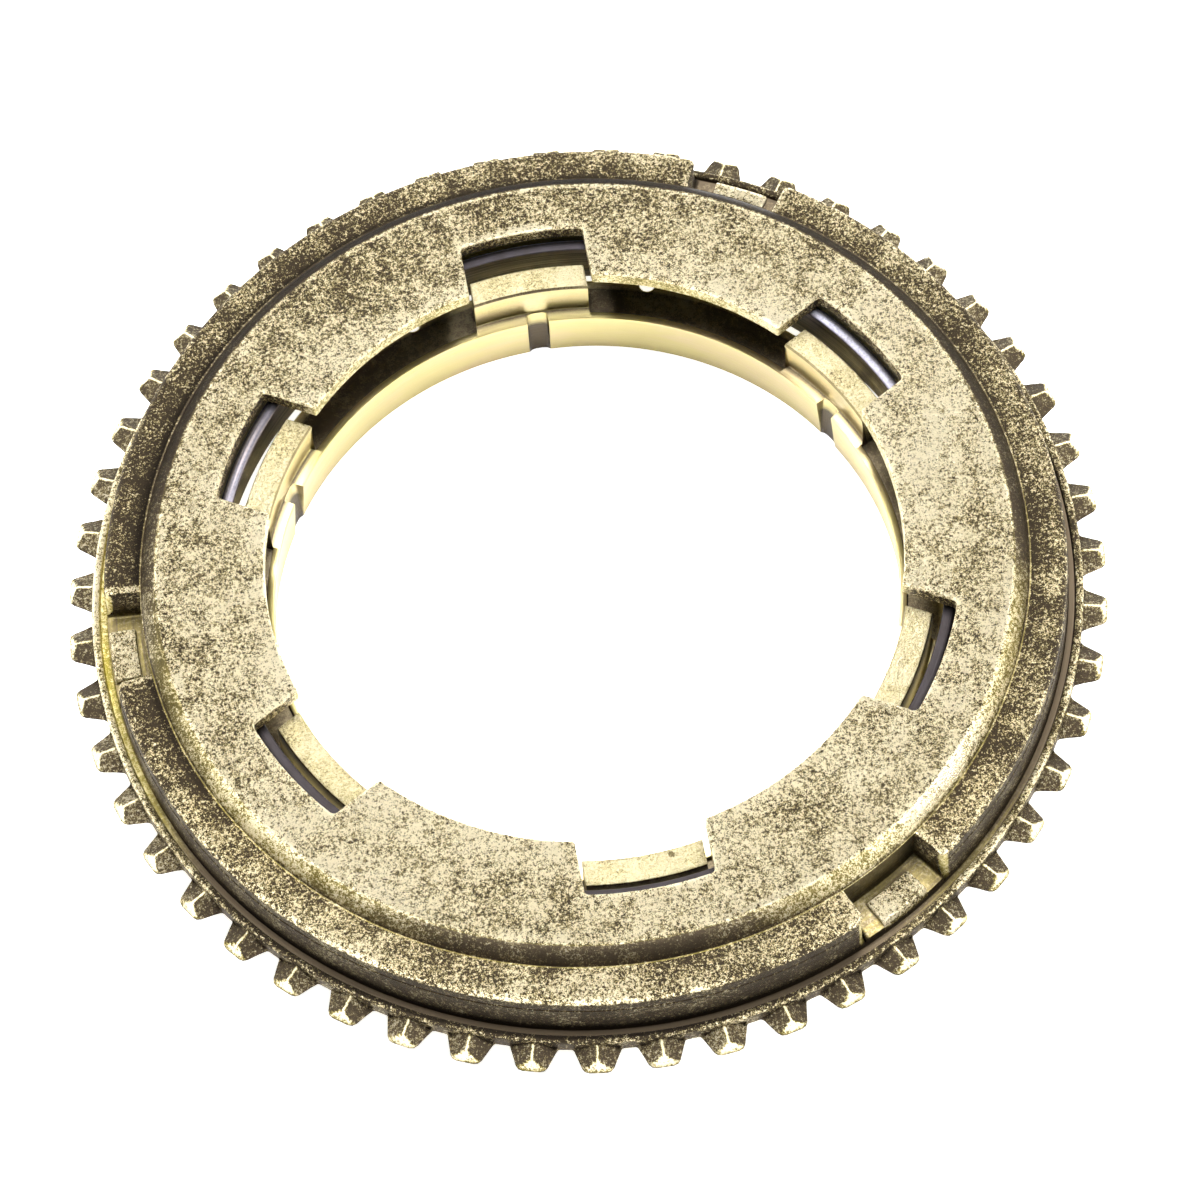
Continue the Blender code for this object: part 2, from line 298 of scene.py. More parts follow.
def slot_columns():
    """Columns on both sides of each slot wall and each pad side."""
    offsets = [SLOT_HALF_DEG + mm * SLOT_DEG_PER_MM for mm in (1.25, 0.95, 0.65, 0.4, 0.22, 0.1, 0.03, 0.001)]
    offsets += [SLOT_HALF_DEG - mm * SLOT_DEG_PER_MM for mm in (0.003, 0.06, 0.18, 0.42)]
    offsets += [PAD_HALF_DEG + mm * SLOT_DEG_PER_MM for mm in (0.36, 0.15, 0.05, 0.003)]
    offsets += [PAD_HALF_DEG - mm * SLOT_DEG_PER_MM for mm in (0.001, 0.05, 0.15, 0.32)]
    return np.array(both_sides(SLOT_CENTRES, offsets))


def add_flange(skin, inner, in_notch):
    """Hole wall, rounded edge and top face; the rounded edges have a painted highlight, and the back has
    painted shade, darker than the front.
    """
    for depth in (1.9, 0.4):
        inner(0.0, depth, cast=0.45 + 0.3 * in_notch, grime=0.25 + 0.75 * in_notch, polish=0.5)
    # The rounded hole edge and the start of the top face get a painted highlight.
    for turn in (0, 30, 60, 90):
        bend = FLANGE_EDGE * (1 - math.cos(math.radians(turn)))
        drop = FLANGE_EDGE * (1 - math.sin(math.radians(turn)))
        inner(bend, drop, cast=0.8, grime=-0.3)
    inner(0.42, 0.0, cast=0.95, grime=-0.3)
    # Painted shade on the top face, strongest at the back; at its outer edge a painted highlight, except at the
    # back.
    stain_and_shade = 0.75 * toward(skin.angles, 95.0, 60.0)
    skin.ring(42.3, 0.0, cast=1.0, grime=stain_and_shade - 0.06)
    skin.ring(45.6, 0.0, cast=1.0, grime=stain_and_shade - 0.06)
    skin.ring(46.3, 0.0, cast=1.0, grime=stain_and_shade - 0.3 + 0.4 * toward(skin.angles, *BACK))


def add_shoulder(skin):
    """Rounded shoulder and the fine turned line at its foot: a painted highlight on its top edge, at the front
    right and at the left, and painted shade elsewhere, strongest at the back and on the foot line.
    """
    back = toward(skin.angles, *BACK)
    # Where the side lights would reflect, a painted highlight takes the place of painted shade.
    lit_sides = np.maximum(toward(skin.angles, -45.0, 40.0), 0.6 * toward(skin.angles, 205.0, 50.0))
    stain_and_shade = 1.05 + 0.5 * back - 1.35 * lit_sides
    skin.ring(46.7, 0.02, cast=1.0, grime=-0.2)
    for radius, depth in ((47.1, 0.13), (47.5, 0.34), (47.85, 0.62), (48.15, 0.95), (48.4, 1.3)):
        skin.ring(radius, depth, cast=0.2 + 0.6 * lit_sides, grime=stain_and_shade, polish=0.8 * lit_sides)
    skin.ring(48.58, 1.66, cast=0.2 + 0.4 * lit_sides, grime=1.1 - 0.5 * lit_sides, polish=0.5 * lit_sides)
    skin.ring(48.66, 1.78, cast=0.2, grime=0.8 + 0.6 * back)
    skin.ring(48.78, 1.79, cast=0.3, grime=0.4 + 0.9 * back)


def add_land(skin):
    """Land between the slots, slot floor and pad, as three profiles of the same length."""
    land = [(radius, LAND) for radius in (48.9, 49.3, 49.9, 50.5, 51.1, 51.6, LAND_EDGE_R)]
    normals = [(0, 1)] * 7
    for turn in (22.5, 45, 67.5, 90):
        sine, cosine = math.sin(math.radians(turn)), math.cos(math.radians(turn))
        land.append((LAND_EDGE_R + LAND_ROUNDING * sine, LAND + LAND_ROUNDING - LAND_ROUNDING * cosine))
        normals.append((-sine, cosine))
    land += [(52.84, 3.62), (52.95, 3.72), (53.0, 5.4), (53.08, 6.9)]
    normals += [(-1, 0)] * 4
    roundings = [0.35] * 7 + [0.45, 0.7, 0.95, 1.15] + [1.2] * 4
    floor = [(48.66, 1.88), (48.68, 3.2), (48.7, 5.0), (48.73, 6.4), (48.86, 6.78), (49.15, SLOT_FLOOR)]
    floor += [(radius, SLOT_FLOOR) for radius in (49.6, 49.88, 49.93, 50.1, 50.7, 51.5, 52.4, 52.75, 53.0)]
    pad = floor[:7] + [(49.9, 6.85), (49.93, 6.2), (50.02, 6.02), (50.25, PAD_TOP), (51.4, PAD_TOP)]
    pad += [(52.5, PAD_TOP), (52.8, 6.08), (52.9, 6.75)]
    first_fillet, first_side, first_bevel, first_pad, first_wall = 4, 7, 8, 9, 10

    # Painted shade on the land's top, row by row outwards: its level, and how much more there is at the back
    shade_rows = [(1.04, 0.45), (1.04, 0.05)] + [(0.74, 0.15)] * 2 + [(0.55, 0.15)] * 3 + [(0.6, 0.15)] * 3
    back = toward(skin.angles, *BACK)
    # Painted shade by angle: in the slots, deeper round 60 degrees; on the land, deeper round 170 degrees and
    # less at the front and round 60; and on the land's outer edge at the right.
    slot_shade = 0.75 + 0.4 * toward(skin.angles, 60.0, 60.0)
    lit_sectors = np.maximum(toward(skin.angles, -100.0, 60.0), 0.4 * toward(skin.angles, 60.0, 60.0))
    sector_shade = 0.35 * toward(skin.angles, 170.0, 60.0) - 0.55 * lit_sectors
    right_side_shade = 0.4 * toward(skin.angles, 0.0, 50.0)

    away = np.abs(nearest(skin.angles, SLOT_CENTRES))
    on_land = away > SLOT_HALF_DEG
    on_pad = away < PAD_HALF_DEG
    from_wall = np.abs(away - SLOT_HALF_DEG) / SLOT_DEG_PER_MM
    from_pad = np.abs(away - PAD_HALF_DEG) / SLOT_DEG_PER_MM
    fillet = np.where(on_land | on_pad, 0, round_inset(from_wall, SLOT_FILLET))
    bevel = round_inset(from_pad, PAD_BEVEL)
    for index, (normal_radius, normal_depth) in enumerate(normals):
        (land_radius, land_depth), (floor_radius, floor_depth) = land[index], floor[index]
        pad_radius, pad_depth = pad[index]
        inset = round_inset(from_wall, roundings[index])
        if index >= first_fillet:
            floor_depth = floor_depth - fillet
        if index >= first_bevel:
            pad_depth = pad_depth + bevel
        slot_radius = np.where(on_pad, pad_radius, floor_radius)
        slot_depth = np.where(on_pad, pad_depth, floor_depth)
        # Walls get deep painted shade; on the land, a painted highlight beside the slot walls and a painted
        # dark line at their edge; the pad's top a slight painted highlight.
        grime = 1.2
        if index < first_wall:
            level, at_back = shade_rows[index]
            grime = level + at_back * back + sector_shade + (right_side_shade if index >= first_side else 0)
        grime = np.where(from_wall < 0.7, np.minimum(grime, 0.0), grime)
        grime = np.where(from_wall < 0.05, 1.1, grime)
        on_pad_top = on_pad & (index >= first_pad)
        skin.ring(
            np.where(on_land, land_radius + inset * normal_radius, slot_radius),
            np.where(on_land, land_depth + inset * normal_depth, slot_depth),
            cast=np.where(on_land, 1.0 if index < first_wall else 0.4, np.where(on_pad_top, 0.9, 0.1)),
            grime=np.where(on_land, grime, np.where(on_pad_top, -0.1, slot_shade)),
            polish=np.where(on_land, 0.0 if index < first_wall else 0.3, np.where(on_pad, 0.1, 0.5)),
        )


def add_groove_and_lip(skin):
    """Turned groove round the foot of the land, and the lip outside it: both have painted shade, with a painted
    highlight at the left and a weaker one at the front right.
    """
    highlighted = np.maximum(toward(skin.angles, 175.0, 42.0), 0.3 * toward(skin.angles, -50.0, 35.0))
    # Painted shade in the groove, deepest at its walls.
    groove = [(53.14, 7.8, 1.3), (53.16, 8.1, 1.25), (53.22, 8.2, 1.1)]
    groove += [(53.6, 8.2, 1.05), (53.88, 8.2, 1.05), (53.96, 8.1, 1.2)]
    for radius, depth, soot_and_shade in groove:
        skin.ring(radius, depth, cast=0.35 * highlighted, grime=soot_and_shade * (1 - highlighted))
    skin.ring(53.99, 7.8, cast=0.3, grime=0.9 - 0.9 * highlighted, polish=0.6)
    # On the lip, painted shade, less at the right and more at the front, and a painted highlight on its outer
    # edge.
    stain_and_shade = 1.15 - 0.4 * toward(skin.angles, -10.0, 80.0) + 0.25 * toward(skin.angles, -95.0, 50.0)
    stain_and_shade = stain_and_shade - 1.6 * highlighted
    skin.ring(54.06, 7.6, cast=0.6, grime=stain_and_shade)
    skin.ring(54.22, 7.5, cast=0.7, grime=stain_and_shade)
    skin.ring(54.45, 7.48, cast=0.7, grime=stain_and_shade)
    skin.ring(54.62, 7.52, cast=0.7, grime=stain_and_shade - 0.3, polish=0.3)
    skin.ring(54.78, 7.64, cast=0.7, grime=stain_and_shade - 0.3, polish=0.3)
    skin.ring(ROOT_R, 7.82, cast=0.9, grime=0.9)


def tooth_top(x, y):
    """Depth of a tooth's upper surface: two cast chamfers, a ridge and a worn facet that falls to the tip."""
    off_ridge = np.sqrt(y**2 + RIDGE_BLUNTNESS**2) - RIDGE_BLUNTNESS
    roof = ROOF + ROOF_FALL * (x - ROOT_R) + ROOF_SLOPE * off_ridge
    tip = FACET + FACET_FALL * (x - FACET_R)
    return np.minimum(np.maximum(roof, tip), LOWEST_TOP), (tip > roof - 0.02).astype(float)


def add_teeth(skin, out):
    """Rows that run out along each tooth's top, and down the rim's wall in the gaps."""
    turn = np.radians(skin.angles)
    from_ridge = np.radians(nearest(skin.angles, np.arange(TEETH) * FULL / TEETH))
    reach = np.hypot(out[:, 0], out[:, 1])
    in_tooth = np.clip((reach - ROOT_R) / 0.35, 0, 1)

    def blend(tooth_depth, gap_depth):
        return in_tooth * tooth_depth + (1 - in_tooth) * gap_depth

    for part in (0.0, 0.1, 0.3, 0.5, 0.68, 0.78, 0.84, 0.92, 1.0):
        radius = ROOT_R + part * np.maximum(reach - 0.1 - ROOT_R, 0)
        lateral = radius * np.sin(from_ridge)
        top, worn = tooth_top(radius * np.cos(from_ridge), lateral)
        ridge = np.exp(-((lateral / 0.1) ** 2)) * (part > 0.05)
        bright = np.clip(ridge + 0.7 * worn, 0, 1) * in_tooth * (1 if part < 0.95 else 0.5)
        skin.add(
            radius * np.cos(turn), radius * np.sin(turn), blend(top, 7.95 + 1.5 * part),
            cast=0.3 + 0.6 * bright, grime=0.92 - 2.2 * bright, polish=0.6 * bright,
        )
    top = tooth_top(reach * np.cos(from_ridge), reach * np.sin(from_ridge))[0]
    under_edge = blend(np.minimum(top + 0.1, TOOTH_BOTTOM - 0.04), 9.55)
    skin.add(out[:, 0], out[:, 1], under_edge, cast=0.3, grime=0.9)
    skin.add(out[:, 0], out[:, 1], blend(TOOTH_BOTTOM, 9.7), cast=0.6, grime=0.9)
    root = np.minimum(reach, ROOT_R)
    for inset, depth in ((0.02, blend(TOOTH_BOTTOM + 0.02, 9.72)), (0.1, RING_BOTTOM)):
        skin.add((root - inset) * np.cos(turn), (root - inset) * np.sin(turn), depth, cast=0.5, grime=0.4)


def add_gear_side(skin, inner):
    """Gear-side face, cone bore and the flange's underside."""
    for radius in (54.4, 43.3):
        skin.ring(radius, RING_BOTTOM, cast=0.1, polish=0.9)
    skin.ring(outer_cone(RING_BOTTOM) + 0.3, RING_BOTTOM, polish=1.0)
    for depth in (9.5, 9.3, 2.3):
        skin.ring(outer_cone(depth), depth, polish=1.0)
    skin.ring(outer_cone(FLANGE) - 0.02, FLANGE, polish=0.8)
    inner(0.1, FLANGE, cast=0.4, polish=0.5)


def outer_ring_skin(material):
    hole = hole_outline()
    rim = tooth_outline()
    special = slot_columns() % FULL
    plain = thin_out(np.concatenate([hole.angles, rim.angles]), 0.012)
    clear = np.abs(wrap(plain[:, None] - special[None, :])).min(1) > 0.03
    skin = Skin(np.sort(np.concatenate([plain[clear], special])))
    edge = hole.at(skin.angles)

    def inner(offset, depth, **masks):
        skin.add(edge[:, 0] + offset * edge[:, 2], edge[:, 1] + offset * edge[:, 3], depth, **masks)

    in_notch = np.clip(np.hypot(edge[:, 0], edge[:, 1]) - HOLE_R - 0.3, 0, 1)
    add_flange(skin, inner, in_notch)
    add_shoulder(skin)
    add_land(skin)
    add_groove_and_lip(skin)
    add_teeth(skin, rim.at(skin.angles))
    add_gear_side(skin, inner)
    skin.build("outer_baulk_ring_fine", material, "outer_ring", "outer_baulk_ring")


def inner_ring_skin(material):
    """Inner cone ring: turned bore with oil grooves, six upright lugs and half-round grooves in the cone."""
    lug_steps = (-3.5, -2.0, -0.9, -0.35, -0.15, -0.05, -0.001, 0.001, 0.1, 0.5, 2.0)
    groove_steps = (0.0, 0.5, 0.85, 1.05, 1.15, 1.2, 1.24, 1.3, 1.5)
    cone_steps = (0.0, 0.3, 0.55, 0.75, 0.88, 0.96, 1.0, 1.1)
    at_lugs = both_sides(LUG_CENTRES, [(LUG_HALF + step) * INNER_DEG_PER_MM for step in lug_steps])
    at_grooves = both_sides(GROOVE_CENTRES, [step * INNER_DEG_PER_MM for step in groove_steps])
    at_cone = both_sides(CONE_GROOVE_CENTRES, [step * CONE_GROOVE_R * CONE_DEG_PER_MM for step in cone_steps])
    angles = thin_out(np.concatenate([at_lugs, at_grooves, at_cone, np.arange(0, FULL, 2.0)]), 0.0015)
    skin = Skin(angles)
    lug = nearest(angles, LUG_CENTRES) / INNER_DEG_PER_MM
    beside_lug = np.clip((12.0 - np.abs(lug)) / 5.0, 0, 1)
    on_lug = np.abs(lug) < LUG_HALF
    from_side = np.abs(np.abs(lug) - LUG_HALF)
    groove = nearest(angles, GROOVE_CENTRES) / INNER_DEG_PER_MM
    in_groove = np.clip((GROOVE_HALF + 0.02 - np.abs(groove)) / 0.06, 0, 1)
    cone = nearest(angles, CONE_GROOVE_CENTRES) / CONE_DEG_PER_MM
    cut = np.sqrt(np.maximum(CONE_GROOVE_R**2 - cone**2, 0))

    def ring(radius, depth, **masks):
        # The lugs' sides and the grooves' walls are parallel, so a column leans with the radius.
        lean = np.degrees(np.arcsin(np.clip(lug / radius, -0.9, 0.9))) - lug * INNER_DEG_PER_MM
        skin.ring(radius, depth, shift=beside_lug * lean, **masks)

    def bore(depth):
        return BORE_LIP_R + (BORE_FOOT_R - BORE_LIP_R) * (depth - BORE_LIP) / (TOP - BORE_LIP)

    def sunk(depth):
        # The groove's floor leans in towards the foot, and curves up into its walls.
        curve = 0.35 * np.clip(np.abs(groove) / GROOVE_HALF, 0, 1) ** 4
        floor = GROOVE_FLOOR_R - curve - 0.04 * (depth - BORE_LIP)
        return in_groove * np.maximum(floor - bore(depth), 0.05)

    # Bore from below to the lip
    # Darker in the bore's oil grooves.
    groove_darkening = in_groove * 0.9
    ring(bore(TOP) + sunk(TOP) + 0.2, TOP - 0.001, polish=0.8, grime=groove_darkening)
    for depth in (16.6, 15.5, 14.0, 12.5, 11.6, 11.0, 10.2):
        ring(bore(depth) + sunk(depth), depth, polish=1.0, grime=groove_darkening * np.clip(depth - 10.6, 0, 1))
    ring(bore(9.6) + sunk(9.6), 9.55, polish=1.0)
    # A painted highlight along the bore's top edge and on the lip, with painted shadow on the lip under the
    # lugs.
    ring(bore(9.4) + sunk(9.4) + 0.02, 9.36, polish=1.0, grime=-0.4)
    ring(bore(BORE_LIP) + 0.08 + sunk(BORE_LIP) * 0.97, BORE_LIP, polish=1.0, grime=-0.2)
    lip_out = np.where(on_lug, 36.05, 35.5)
    lip_shade_and_highlight = np.where(on_lug, 0.9, -0.2)
    ring(np.maximum(lip_out - 0.1, 34.7 + sunk(BORE_LIP)), BORE_LIP, polish=0.9, grime=lip_shade_and_highlight)

    # Lug face, top and back on the lugs; the plane between them, in painted shadow from the flange above it
    lug_rows = [(36.1, 9.2), (36.0, 8.4), (35.85, 6.9), (35.7, 5.4), (35.53, 4.3), (35.5, 4.12)]
    lug_rows += [(35.62, 3.83), (35.7, 3.77), (36.0, LUG_TOP), (37.2, LUG_TOP), (38.1, LUG_TOP)]
    lug_rows += [(38.4, 3.8), (38.51, 3.92), (38.55, 4.15), (38.55, 7.0), (38.55, 9.7), (38.8, 10.0)]
    gap_rows = [(35.5, 9.36), (35.5, 9.7), (35.52, 9.95), (35.62, INNER_SHOULDER)]
    gap_rows += [(radius, INNER_SHOULDER) for radius in np.linspace(35.9, 38.9, len(lug_rows) - len(gap_rows))]
    side_edge = round_inset(from_side, 0.15)
    for index, ((lug_radius, lug_depth), (gap_radius, gap_depth)) in enumerate(zip(lug_rows, gap_rows)):
        top_face = 5 <= index <= 11
        chamfer = 5 <= index <= 6
        # On the lugs, painted shade on the top chamfer, most at the back, and on the back edge; a slight
        # painted highlight on the top.
        if chamfer:
            lug_shade = 0.5 + 0.4 * toward(angles, 90.0, 40.0)
        elif top_face:
            lug_shade = -0.1
        elif index < 12:
            lug_shade = 0.0
        else:
            lug_shade = 1.0 if index < 14 else 0.1
        ring(
            np.where(on_lug, lug_radius, gap_radius),
            np.where(on_lug, lug_depth + (side_edge if 6 <= index <= 12 else 0.0), gap_depth),
            cast=np.where(on_lug & top_face & (not chamfer), 0.6, 0.15),
            grime=np.where(on_lug, lug_shade, 0.9),
            polish=np.where(on_lug, 0.15 if top_face else 1.0, 0.4),
        )

    # Shoulder, outer cone with its oil grooves, foot
    ring(39.4 - np.maximum(cut - 0.6, 0), INNER_SHOULDER, cast=0.2, grime=0.4, polish=0.4)
    ring(40.0 - cut, INNER_SHOULDER, polish=1.0)
    ring(INNER_CONE_R - cut, 10.25, polish=1.0)
    for depth in (11.5, 13.5, 15.5, 16.6):
        ring(INNER_CONE_R + TAPER * (depth - INNER_SHOULDER) - cut, depth, polish=1.0)
    ring(41.15 - cut, TOP - 0.001, polish=1.0)
    skin.build("inner_cone_ring_fine", material, "inner_ring", "inner_cone_ring")


def steel_ring_skin(material):
    """Intermediate ring: a thin double cone with six lugs below."""
    offsets = [STEEL_LUG_HALF_DEG + step for step in (0.4, 0.15, 0.001, -0.001, -0.1, -0.4)] + [4.0, 0.0]
    special = both_sides(STEEL_LUG_CENTRES, offsets)
    angles = thin_out(np.concatenate([special, np.arange(0, FULL, 1.5)]), 0.0015)
    skin = Skin(angles)
    on_lug = np.abs(nearest(angles, STEEL_LUG_CENTRES)) < STEEL_LUG_HALF_DEG

    inside, outside, end = steel_cone, steel_outside, STEEL_BODY_END
    top = [(outside(8), 8.0), (outside(5), 5.0), (outside(2.9), 2.9), (outside(2.75), 2.75)]
    top += [(outside(2.4) - 0.22, 2.48), (outside(2.4) - 0.34, STEEL_TOP)]
    top += [(40.3, STEEL_TOP), (39.95, STEEL_TOP), (39.72, 2.41), (39.63, 2.5), (inside(2.7), 2.7)]
    top += [(inside(5), 5.0), (inside(8), 8.0)]
    lugs = [(inside(depth), depth) for depth in (10.4, 12.5, 15, 16.55)]
    lugs += [(inside(TOP) + 0.22, TOP), (outside(TOP) - 0.22, TOP)]
    lugs += [(outside(depth), depth) for depth in (16.55, 15, 12.5, 10.4)]
    gaps = [(inside(10.4), 10.4), (inside(end) + 0.08, 10.54), (inside(end) + 0.2, end)]
    gaps += [(inside(end) + part * STEEL_WALL, end) for part in (0.3, 0.45, 0.6, 0.75)]
    gaps += [(outside(end) - 0.2, end), (outside(end) - 0.08, 10.54), (outside(10.4), 10.4)]

    # Painted highlight on the top edge at the back and on parts of the top face; painted shade on the rest of
    # the face.
    shaded = 1 - toward(angles, *BACK)
    edge_highlight = 0.9 - 0.85 * shaded
    face_highlight = 0.6 * np.clip(2 * toward(angles, 30.0, 30.0), 0, 1) + 0.45 * toward(angles, 165.0, 30.0)
    face_shade = 0.8 + 0.15 * shaded - 0.8 * np.minimum(face_highlight * 2, 1)
    # Each list goes round its end of the ring: here from inside over the top and down the outside
    for radius, depth in reversed(top):
        on_face = depth < 2.5 and radius > 39.8
        on_edge = 39.8 < radius and 2.42 < depth < 2.8
        on_cone = radius < 39.66 or depth > 2.8
        painted_highlight = np.maximum(face_highlight * on_face, edge_highlight * on_edge)
        skin.ring(radius, depth, polish=painted_highlight, grime=0.45 if on_cone else face_shade)
    for (lug_radius, lug_depth), (gap_radius, gap_depth) in reversed(list(zip(lugs, gaps))):
        skin.ring(np.where(on_lug, lug_radius, gap_radius), np.where(on_lug, lug_depth, gap_depth), grime=0.4)
    skin.build(
        "intermediate_cone_ring_fine", material, "intermediate_ring", "intermediate_cone_ring"
    )


class Nodes:
    """A short way to wire a material."""

    def __init__(self, name):
        self.material = bpy.data.materials.new(name)
        self.material.use_nodes = True
        self.tree = self.material.node_tree
        self.shader = self.tree.nodes["Principled BSDF"]
        place = self.tree.nodes.new("ShaderNodeTexCoord")
        scale = self.tree.nodes.new("ShaderNodeVectorMath")
        scale.operation = "SCALE"
        scale.inputs["Scale"].default_value = 1 / MM
        self.tree.links.new(place.outputs["Object"], scale.inputs[0])
        self.place = scale.outputs[0]

    def put(self, value, socket):
        if isinstance(value, bpy.types.NodeSocket):
            self.tree.links.new(value, socket)
        else:
            socket.default_value = value

    def math(self, operation, first, second=0.0, clamp=False):
        node = self.tree.nodes.new("ShaderNodeMath")
        node.operation = operation
        node.use_clamp = clamp
        self.put(first, node.inputs[0])
        self.put(second, node.inputs[1])
        return node.outputs[0]

    def noise(self, scale, detail=3.0, roughness=0.6, place=None):
        node = self.tree.nodes.new("ShaderNodeTexNoise")
        self.tree.links.new(place or self.place, node.inputs["Vector"])
        node.inputs["Scale"].default_value = scale
        node.inputs["Detail"].default_value = detail
        node.inputs["Roughness"].default_value = roughness
        return node.outputs["Fac"]

    def turned(self, around, across):
        """Coordinates (radius and height, stretched; angle, squeezed) for marks that run round the axis."""
        split = self.tree.nodes.new("ShaderNodeSeparateXYZ")
        self.tree.links.new(self.place, split.inputs[0])
        x, y, z = split.outputs
        radius = self.math("SQRT", self.math("ADD", self.math("MULTIPLY", x, x), self.math("MULTIPLY", y, y)))
        angle = self.math("ARCTAN2", y, x)
        join = self.tree.nodes.new("ShaderNodeCombineXYZ")
        self.put(self.math("MULTIPLY", radius, across), join.inputs[0])
        self.put(self.math("MULTIPLY", self.math("ABSOLUTE", angle), around), join.inputs[1])
        self.put(self.math("MULTIPLY", z, across), join.inputs[2])
        return join.outputs[0]

    def weigh(self, start, *terms):
        """A starting value plus each term's gain times its distance from its middle."""
        for value, middle, gain in terms:
            start = self.math("ADD", start, self.math("MULTIPLY", self.math("SUBTRACT", value, middle), gain))
        return start

    def crease(self, value, width):
        """Thin wandering lines along a noise's middle level."""
        return self.spread(self.math("ABSOLUTE", self.math("SUBTRACT", value, 0.5)), 0.0, width, 1.0, 0.0)

    def pits(self, scale, size):
        node = self.tree.nodes.new("ShaderNodeTexVoronoi")
        self.tree.links.new(self.place, node.inputs["Vector"])
        node.inputs["Scale"].default_value = scale
        return self.spread(node.outputs["Distance"], size, 0.0)

    def near(self, middle, radius):
        """1 inside a small ball, with a soft edge."""
        node = self.tree.nodes.new("ShaderNodeVectorMath")
        node.operation = "DISTANCE"
        self.tree.links.new(self.place, node.inputs[0])
        node.inputs[1].default_value = middle
        return self.spread(node.outputs["Value"], radius, 0.7 * radius)

    def mask(self, name):
        node = self.tree.nodes.new("ShaderNodeAttribute")
        node.attribute_name = name
        return node.outputs["Fac"]

    def spread(self, value, low, high, to_low=0.0, to_high=1.0):
        node = self.tree.nodes.new("ShaderNodeMapRange")
        self.put(value, node.inputs["Value"])
        for key, number in (("From Min", low), ("From Max", high), ("To Min", to_low), ("To Max", to_high)):
            node.inputs[key].default_value = number
        return node.outputs["Result"]

    def mix(self, factor, first, second):
        node = self.tree.nodes.new("ShaderNodeMix")
        node.data_type = "RGBA"
        self.put(factor, node.inputs["Factor"])
        sockets = [socket for socket in node.inputs if socket.type == "RGBA"]
        for value, socket in zip((first, second), sockets):
            self.put(value if isinstance(value, bpy.types.NodeSocket) else (*value, 1.0), socket)
        return next(socket for socket in node.outputs if socket.type == "RGBA")

    def finish(self, color, roughness, height, distance):
        bump = self.tree.nodes.new("ShaderNodeBump")
        bump.inputs["Distance"].default_value = distance * MM
        bump.inputs["Strength"].default_value = 1.0
        self.put(height, bump.inputs["Height"])
        self.put(color, self.shader.inputs["Base Color"])
        self.put(roughness, self.shader.inputs["Roughness"])
        self.put(bump.outputs[0], self.shader.inputs["Normal"])
        self.shader.inputs["Metallic"].default_value = 1.0
        return self.material


def brass_material(name, pale, straw, dark, turned_colour, stain_colour, smooth, fleck, pit=None):
    """Cast brass with dark speckle where the cast mask is 1, turned brass where it is 0. The mask of grime and
    painted shade darkens both, with a painted highlight where it is below 0, and the polish mask adds painted
    sheen to the cast tone. fleck is how strong the speckle is, smooth the roughness where polish is 1, and pit
    the middle and radius of one dark pit."""
    n = Nodes(name)
    cast = n.mask("cast")
    grime = n.mask("grime")
    polish = n.mask("polish")
    grain = n.noise(2.6, 3.0, 0.7)
    fine = n.noise(7.0, 2.0, 0.6)
    patches = n.noise(0.36, 3.0, 0.6)
    clouds = n.noise(0.085, 2.0, 0.5)
    crease = n.crease(n.noise(1.7, 3.0, 0.7), 0.03)
    relief = n.weigh(0.0, (grain, 0.5, 4.0), (fine, 0.5, 3.2))

    # Tone: 0 is a black pit, 1 is clean metal
    tone = n.weigh(0.64, (relief, 0.0, fleck), (patches, 0.5, 2.1), (clouds, 0.5, 1.5))
    # Grime and painted shade lower the tone, and polish adds painted sheen.
    tone = n.weigh(tone, (grime, 0.0, -0.85), (polish, 0.0, 0.3))
    crackle = n.math("MULTIPLY", crease, n.spread(patches, 0.62, 0.42, 0.3, 0.8))
    tone = n.math("SUBTRACT", tone, n.math("MULTIPLY", crackle, fleck))
    tone = n.math("SUBTRACT", tone, n.math("MULTIPLY", n.pits(0.8, 0.16), 0.6 * fleck))
    if pit:
        tone = n.math("SUBTRACT", tone, n.near(*pit))
    cast_colour = n.mix(n.spread(tone, -0.1, 0.36), dark, straw)
    cast_colour = n.mix(n.spread(tone, 0.36, 0.95), cast_colour, pale)

    # Turned metal, stained in bands, and darkened with grime and painted shade where that mask is high
    marks = n.noise(1.0, 3.0, 0.7, n.turned(6.0, 5.0))
    stain_and_shade = n.noise(0.5, 3.0, 0.6, n.turned(7.0, 0.6))
    smooth_colour = n.mix(n.spread(stain_and_shade, 0.42, 0.66), turned_colour, stain_colour)
    soot_and_shade = n.weigh(0.0, (grime, 0.0, 1.0), (n.math("MULTIPLY", grime, fine), 0.0, 0.4), (marks, 0.5, 0.5))
    soot_and_shade = n.math("MULTIPLY", soot_and_shade, n.spread(grime, 0.0, 0.3))
    smooth_colour = n.mix(soot_and_shade, smooth_colour, dark)
    color = n.mix(n.spread(cast, 0.05, 0.75), smooth_colour, cast_colour)
    # Near black where the grime and painted shade mask passes 1: deep painted shade in the groove, on walls and
    # at the back.
    color = n.mix(n.spread(grime, 1.0, 1.6), color, (0.014, 0.011, 0.009))

    dull = n.spread(tone, 0.0, 1.0, 0.2, -0.12)
    rough = n.math("ADD", n.spread(polish, 0.0, 1.0, 0.5, smooth), n.math("MULTIPLY", dull, cast))
    rough = n.math("ADD", rough, n.spread(marks, 0.3, 0.7, -0.04, 0.06), clamp=True)
    bare = n.math("MULTIPLY", cast, n.spread(polish, 0.0, 1.0, 1.0, 0.2))
    rugged = n.math("MULTIPLY", bare, n.weigh(0.0, (relief, 0.0, 0.28), (crease, 0.2, -0.12)))
    height = n.math("ADD", rugged, n.math("MULTIPLY", marks, 0.05))
    return n.finish(color, rough, height, 0.36)


